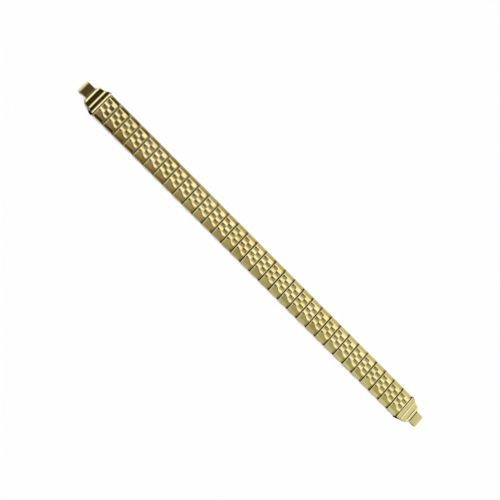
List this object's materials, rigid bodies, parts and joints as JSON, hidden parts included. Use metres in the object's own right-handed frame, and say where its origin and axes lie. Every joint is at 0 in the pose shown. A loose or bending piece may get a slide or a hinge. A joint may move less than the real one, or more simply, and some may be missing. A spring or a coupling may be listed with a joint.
{
  "type": "expansion watch band",
  "caption": "Narrow gold-tone expansion watch band: two rows of sprung flat links tied by staples, brick-relief shells on the face side, stepped end pieces with curled bar hooks.",
  "frame": {"origin": "on the skin side, under the middle of the band's length and width", "axes": "+X along the band, +Y across it, +Z from the skin side to the face side"},
  "size_m": [0.15, 0.0088, 0.0026],
  "materials": {
    "gold_plate": "polished yellow gold plate on steel and brass",
    "steel": "plain stainless steel, brushed along the sleeves"
  },
  "bodies": {
    "end_unit_left": {"left_end_links": "gold_plate", "left_end_cap": "gold_plate", "left_end_hook": "gold_plate"},
    "end_unit_right": {"right_end_links": "gold_plate", "right_end_cap": "gold_plate", "right_end_hook": "gold_plate"},
    "top_link_04": {"top_link_04": "gold_plate"},
    "top_link_05": {"top_link_05": "gold_plate"},
    "top_link_06": {"top_link_06": "gold_plate"},
    "top_link_07": {"top_link_07": "gold_plate"},
    "top_link_08": {"top_link_08": "gold_plate"},
    "top_link_09": {"top_link_09": "gold_plate"},
    "top_link_10": {"top_link_10": "gold_plate"},
    "top_link_11": {"top_link_11": "gold_plate"},
    "top_link_12": {"top_link_12": "gold_plate"},
    "top_link_13": {"top_link_13": "gold_plate"},
    "top_link_14": {"top_link_14": "gold_plate"},
    "top_link_15": {"top_link_15": "gold_plate"},
    "top_link_16": {"top_link_16": "gold_plate", "tilting_staples": "steel"},
    "top_link_17": {"top_link_17": "gold_plate"},
    "top_link_18": {"top_link_18": "gold_plate"},
    "top_link_19": {"top_link_19": "gold_plate"},
    "top_link_20": {"top_link_20": "gold_plate"},
    "top_link_21": {"top_link_21": "gold_plate"},
    "top_link_22": {"top_link_22": "gold_plate"},
    "top_link_23": {"top_link_23": "gold_plate"},
    "top_link_24": {"top_link_24": "gold_plate"},
    "top_link_25": {"top_link_25": "gold_plate"},
    "top_link_26": {"top_link_26": "gold_plate"},
    "top_link_27": {"top_link_27": "gold_plate"},
    "top_link_28": {"top_link_28": "gold_plate"},
    "top_link_29": {"top_link_29": "gold_plate"},
    "under_link_03": {"under_link_03": "steel"},
    "under_link_04": {"under_link_04": "steel"},
    "under_link_05": {"under_link_05": "steel"},
    "under_link_06": {"under_link_06": "steel"},
    "under_link_07": {"under_link_07": "steel"},
    "under_link_08": {"under_link_08": "steel"},
    "under_link_09": {"under_link_09": "steel"},
    "under_link_10": {"under_link_10": "steel"},
    "under_link_11": {"under_link_11": "steel"},
    "under_link_12": {"under_link_12": "steel"},
    "under_link_13": {"under_link_13": "steel"},
    "under_link_14": {"under_link_14": "steel"},
    "under_link_15": {"under_link_15": "steel"},
    "under_link_16": {"under_link_16": "steel"},
    "under_link_17": {"under_link_17": "steel"},
    "under_link_18": {"under_link_18": "steel"},
    "under_link_19": {"under_link_19": "steel"},
    "under_link_20": {"under_link_20": "steel"},
    "under_link_21": {"under_link_21": "steel"},
    "under_link_22": {"under_link_22": "steel"},
    "under_link_23": {"under_link_23": "steel"},
    "under_link_24": {"under_link_24": "steel"},
    "under_link_25": {"under_link_25": "steel"},
    "under_link_26": {"under_link_26": "steel"},
    "under_link_27": {"under_link_27": "steel"},
    "under_link_28": {"under_link_28": "steel"},
    "under_link_29": {"under_link_29": "steel"}
  },
  "joints": [
    {"name": "stretch_03", "type": "slide", "parent": "top_link_04", "child": "under_link_03", "axis": [-1, 0, 0], "range_m": [0, 0.00135], "stiffness_N_per_m": 15},
    {"name": "bend_03", "type": "hinge", "parent": "under_link_03", "child": "end_unit_left", "pos_m": [-0.0567, 0, 0], "axis": [0, -1, 0], "range_deg": [-1.5, 9.8]},
    {"name": "stretch_04", "type": "slide", "parent": "top_link_05", "child": "under_link_04", "axis": [-1, 0, 0], "range_m": [0, 0.00135], "stiffness_N_per_m": 15},
    {"name": "bend_04", "type": "hinge", "parent": "under_link_04", "child": "top_link_04", "pos_m": [-0.0525, 0, 0], "axis": [0, -1, 0], "range_deg": [-1.5, 9.8]},
    {"name": "stretch_05", "type": "slide", "parent": "top_link_06", "child": "under_link_05", "axis": [-1, 0, 0], "range_m": [0, 0.00135], "stiffness_N_per_m": 15},
    {"name": "bend_05", "type": "hinge", "parent": "under_link_05", "child": "top_link_05", "pos_m": [-0.0483, 0, 0], "axis": [0, -1, 0], "range_deg": [-1.5, 9.8]},
    {"name": "stretch_06", "type": "slide", "parent": "top_link_07", "child": "under_link_06", "axis": [-1, 0, 0], "range_m": [0, 0.00135], "stiffness_N_per_m": 15},
    {"name": "bend_06", "type": "hinge", "parent": "under_link_06", "child": "top_link_06", "pos_m": [-0.0441, 0, 0], "axis": [0, -1, 0], "range_deg": [-1.5, 9.8]},
    {"name": "stretch_07", "type": "slide", "parent": "top_link_08", "child": "under_link_07", "axis": [-1, 0, 0], "range_m": [0, 0.00135], "stiffness_N_per_m": 15},
    {"name": "bend_07", "type": "hinge", "parent": "under_link_07", "child": "top_link_07", "pos_m": [-0.0399, 0, 0], "axis": [0, -1, 0], "range_deg": [-1.5, 9.8]},
    {"name": "stretch_08", "type": "slide", "parent": "top_link_09", "child": "under_link_08", "axis": [-1, 0, 0], "range_m": [0, 0.00135], "stiffness_N_per_m": 15},
    {"name": "bend_08", "type": "hinge", "parent": "under_link_08", "child": "top_link_08", "pos_m": [-0.0357, 0, 0], "axis": [0, -1, 0], "range_deg": [-1.5, 9.8]},
    {"name": "stretch_09", "type": "slide", "parent": "top_link_10", "child": "under_link_09", "axis": [-1, 0, 0], "range_m": [0, 0.00135], "stiffness_N_per_m": 15},
    {"name": "bend_09", "type": "hinge", "parent": "under_link_09", "child": "top_link_09", "pos_m": [-0.0315, 0, 0], "axis": [0, -1, 0], "range_deg": [-1.5, 9.8]},
    {"name": "stretch_10", "type": "slide", "parent": "top_link_11", "child": "under_link_10", "axis": [-1, 0, 0], "range_m": [0, 0.00135], "stiffness_N_per_m": 15},
    {"name": "bend_10", "type": "hinge", "parent": "under_link_10", "child": "top_link_10", "pos_m": [-0.0273, 0, 0], "axis": [0, -1, 0], "range_deg": [-1.5, 9.8]},
    {"name": "stretch_11", "type": "slide", "parent": "top_link_12", "child": "under_link_11", "axis": [-1, 0, 0], "range_m": [0, 0.00135], "stiffness_N_per_m": 15},
    {"name": "bend_11", "type": "hinge", "parent": "under_link_11", "child": "top_link_11", "pos_m": [-0.0231, 0, 0], "axis": [0, -1, 0], "range_deg": [-1.5, 9.8]},
    {"name": "stretch_12", "type": "slide", "parent": "top_link_13", "child": "under_link_12", "axis": [-1, 0, 0], "range_m": [0, 0.00135], "stiffness_N_per_m": 15},
    {"name": "bend_12", "type": "hinge", "parent": "under_link_12", "child": "top_link_12", "pos_m": [-0.0189, 0, 0], "axis": [0, -1, 0], "range_deg": [-1.5, 9.8]},
    {"name": "stretch_13", "type": "slide", "parent": "top_link_14", "child": "under_link_13", "axis": [-1, 0, 0], "range_m": [0, 0.00135], "stiffness_N_per_m": 15},
    {"name": "bend_13", "type": "hinge", "parent": "under_link_13", "child": "top_link_13", "pos_m": [-0.0147, 0, 0], "axis": [0, -1, 0], "range_deg": [-1.5, 9.8]},
    {"name": "stretch_14", "type": "slide", "parent": "top_link_15", "child": "under_link_14", "axis": [-1, 0, 0], "range_m": [0, 0.00135], "stiffness_N_per_m": 15},
    {"name": "bend_14", "type": "hinge", "parent": "under_link_14", "child": "top_link_14", "pos_m": [-0.0105, 0, 0], "axis": [0, -1, 0], "range_deg": [-1.5, 9.8]},
    {"name": "stretch_15", "type": "slide", "parent": "top_link_16", "child": "under_link_15", "axis": [-1, 0, 0], "range_m": [0, 0.00135], "stiffness_N_per_m": 15},
    {"name": "bend_15", "type": "hinge", "parent": "under_link_15", "child": "top_link_15", "pos_m": [-0.0063, 0, 0], "axis": [0, -1, 0], "range_deg": [-1.5, 9.8]},
    {"name": "bend_16", "type": "hinge", "parent": "top_link_16", "child": "under_link_16", "pos_m": [-0.0021, 0, 0], "axis": [0, 1, 0], "range_deg": [-1.5, 9.8]},
    {"name": "stretch_16", "type": "slide", "parent": "under_link_16", "child": "top_link_17", "axis": [1, 0, 0], "range_m": [0, 0.00135], "stiffness_N_per_m": 15, "deforming": ["tilting_staples"]},
    {"name": "bend_17", "type": "hinge", "parent": "top_link_17", "child": "under_link_17", "pos_m": [0.0021, 0, 0], "axis": [0, 1, 0], "range_deg": [-1.5, 9.8]},
    {"name": "stretch_17", "type": "slide", "parent": "under_link_17", "child": "top_link_18", "axis": [1, 0, 0], "range_m": [0, 0.00135], "stiffness_N_per_m": 15},
    {"name": "bend_18", "type": "hinge", "parent": "top_link_18", "child": "under_link_18", "pos_m": [0.0063, 0, 0], "axis": [0, 1, 0], "range_deg": [-1.5, 9.8]},
    {"name": "stretch_18", "type": "slide", "parent": "under_link_18", "child": "top_link_19", "axis": [1, 0, 0], "range_m": [0, 0.00135], "stiffness_N_per_m": 15},
    {"name": "bend_19", "type": "hinge", "parent": "top_link_19", "child": "under_link_19", "pos_m": [0.0105, 0, 0], "axis": [0, 1, 0], "range_deg": [-1.5, 9.8]},
    {"name": "stretch_19", "type": "slide", "parent": "under_link_19", "child": "top_link_20", "axis": [1, 0, 0], "range_m": [0, 0.00135], "stiffness_N_per_m": 15},
    {"name": "bend_20", "type": "hinge", "parent": "top_link_20", "child": "under_link_20", "pos_m": [0.0147, 0, 0], "axis": [0, 1, 0], "range_deg": [-1.5, 9.8]},
    {"name": "stretch_20", "type": "slide", "parent": "under_link_20", "child": "top_link_21", "axis": [1, 0, 0], "range_m": [0, 0.00135], "stiffness_N_per_m": 15},
    {"name": "bend_21", "type": "hinge", "parent": "top_link_21", "child": "under_link_21", "pos_m": [0.0189, 0, 0], "axis": [0, 1, 0], "range_deg": [-1.5, 9.8]},
    {"name": "stretch_21", "type": "slide", "parent": "under_link_21", "child": "top_link_22", "axis": [1, 0, 0], "range_m": [0, 0.00135], "stiffness_N_per_m": 15},
    {"name": "bend_22", "type": "hinge", "parent": "top_link_22", "child": "under_link_22", "pos_m": [0.0231, 0, 0], "axis": [0, 1, 0], "range_deg": [-1.5, 9.8]},
    {"name": "stretch_22", "type": "slide", "parent": "under_link_22", "child": "top_link_23", "axis": [1, 0, 0], "range_m": [0, 0.00135], "stiffness_N_per_m": 15},
    {"name": "bend_23", "type": "hinge", "parent": "top_link_23", "child": "under_link_23", "pos_m": [0.0273, 0, 0], "axis": [0, 1, 0], "range_deg": [-1.5, 9.8]},
    {"name": "stretch_23", "type": "slide", "parent": "under_link_23", "child": "top_link_24", "axis": [1, 0, 0], "range_m": [0, 0.00135], "stiffness_N_per_m": 15},
    {"name": "bend_24", "type": "hinge", "parent": "top_link_24", "child": "under_link_24", "pos_m": [0.0315, 0, 0], "axis": [0, 1, 0], "range_deg": [-1.5, 9.8]},
    {"name": "stretch_24", "type": "slide", "parent": "under_link_24", "child": "top_link_25", "axis": [1, 0, 0], "range_m": [0, 0.00135], "stiffness_N_per_m": 15},
    {"name": "bend_25", "type": "hinge", "parent": "top_link_25", "child": "under_link_25", "pos_m": [0.0357, 0, 0], "axis": [0, 1, 0], "range_deg": [-1.5, 9.8]},
    {"name": "stretch_25", "type": "slide", "parent": "under_link_25", "child": "top_link_26", "axis": [1, 0, 0], "range_m": [0, 0.00135], "stiffness_N_per_m": 15},
    {"name": "bend_26", "type": "hinge", "parent": "top_link_26", "child": "under_link_26", "pos_m": [0.0399, 0, 0], "axis": [0, 1, 0], "range_deg": [-1.5, 9.8]},
    {"name": "stretch_26", "type": "slide", "parent": "under_link_26", "child": "top_link_27", "axis": [1, 0, 0], "range_m": [0, 0.00135], "stiffness_N_per_m": 15},
    {"name": "bend_27", "type": "hinge", "parent": "top_link_27", "child": "under_link_27", "pos_m": [0.0441, 0, 0], "axis": [0, 1, 0], "range_deg": [-1.5, 9.8]},
    {"name": "stretch_27", "type": "slide", "parent": "under_link_27", "child": "top_link_28", "axis": [1, 0, 0], "range_m": [0, 0.00135], "stiffness_N_per_m": 15},
    {"name": "bend_28", "type": "hinge", "parent": "top_link_28", "child": "under_link_28", "pos_m": [0.0483, 0, 0], "axis": [0, 1, 0], "range_deg": [-1.5, 9.8]},
    {"name": "stretch_28", "type": "slide", "parent": "under_link_28", "child": "top_link_29", "axis": [1, 0, 0], "range_m": [0, 0.00135], "stiffness_N_per_m": 15},
    {"name": "bend_29", "type": "hinge", "parent": "top_link_29", "child": "under_link_29", "pos_m": [0.0525, 0, 0], "axis": [0, 1, 0], "range_deg": [-1.5, 9.8]},
    {"name": "stretch_29", "type": "slide", "parent": "under_link_29", "child": "end_unit_right", "axis": [1, 0, 0], "range_m": [0, 0.00135], "stiffness_N_per_m": 15}
  ],
  "couplings": [
    {"joint": "stretch_03", "follows": "stretch_16", "ratio": 1},
    {"joint": "stretch_04", "follows": "stretch_16", "ratio": 1},
    {"joint": "stretch_05", "follows": "stretch_16", "ratio": 1},
    {"joint": "stretch_06", "follows": "stretch_16", "ratio": 1},
    {"joint": "stretch_07", "follows": "stretch_16", "ratio": 1},
    {"joint": "stretch_08", "follows": "stretch_16", "ratio": 1},
    {"joint": "stretch_09", "follows": "stretch_16", "ratio": 1},
    {"joint": "stretch_10", "follows": "stretch_16", "ratio": 1},
    {"joint": "stretch_11", "follows": "stretch_16", "ratio": 1},
    {"joint": "stretch_12", "follows": "stretch_16", "ratio": 1},
    {"joint": "stretch_13", "follows": "stretch_16", "ratio": 1},
    {"joint": "stretch_14", "follows": "stretch_16", "ratio": 1},
    {"joint": "stretch_15", "follows": "stretch_16", "ratio": 1},
    {"joint": "stretch_17", "follows": "stretch_16", "ratio": 1},
    {"joint": "stretch_18", "follows": "stretch_16", "ratio": 1},
    {"joint": "stretch_19", "follows": "stretch_16", "ratio": 1},
    {"joint": "stretch_20", "follows": "stretch_16", "ratio": 1},
    {"joint": "stretch_21", "follows": "stretch_16", "ratio": 1},
    {"joint": "stretch_22", "follows": "stretch_16", "ratio": 1},
    {"joint": "stretch_23", "follows": "stretch_16", "ratio": 1},
    {"joint": "stretch_24", "follows": "stretch_16", "ratio": 1},
    {"joint": "stretch_25", "follows": "stretch_16", "ratio": 1},
    {"joint": "stretch_26", "follows": "stretch_16", "ratio": 1},
    {"joint": "stretch_27", "follows": "stretch_16", "ratio": 1},
    {"joint": "stretch_28", "follows": "stretch_16", "ratio": 1},
    {"joint": "stretch_29", "follows": "stretch_16", "ratio": 1}
  ]
}
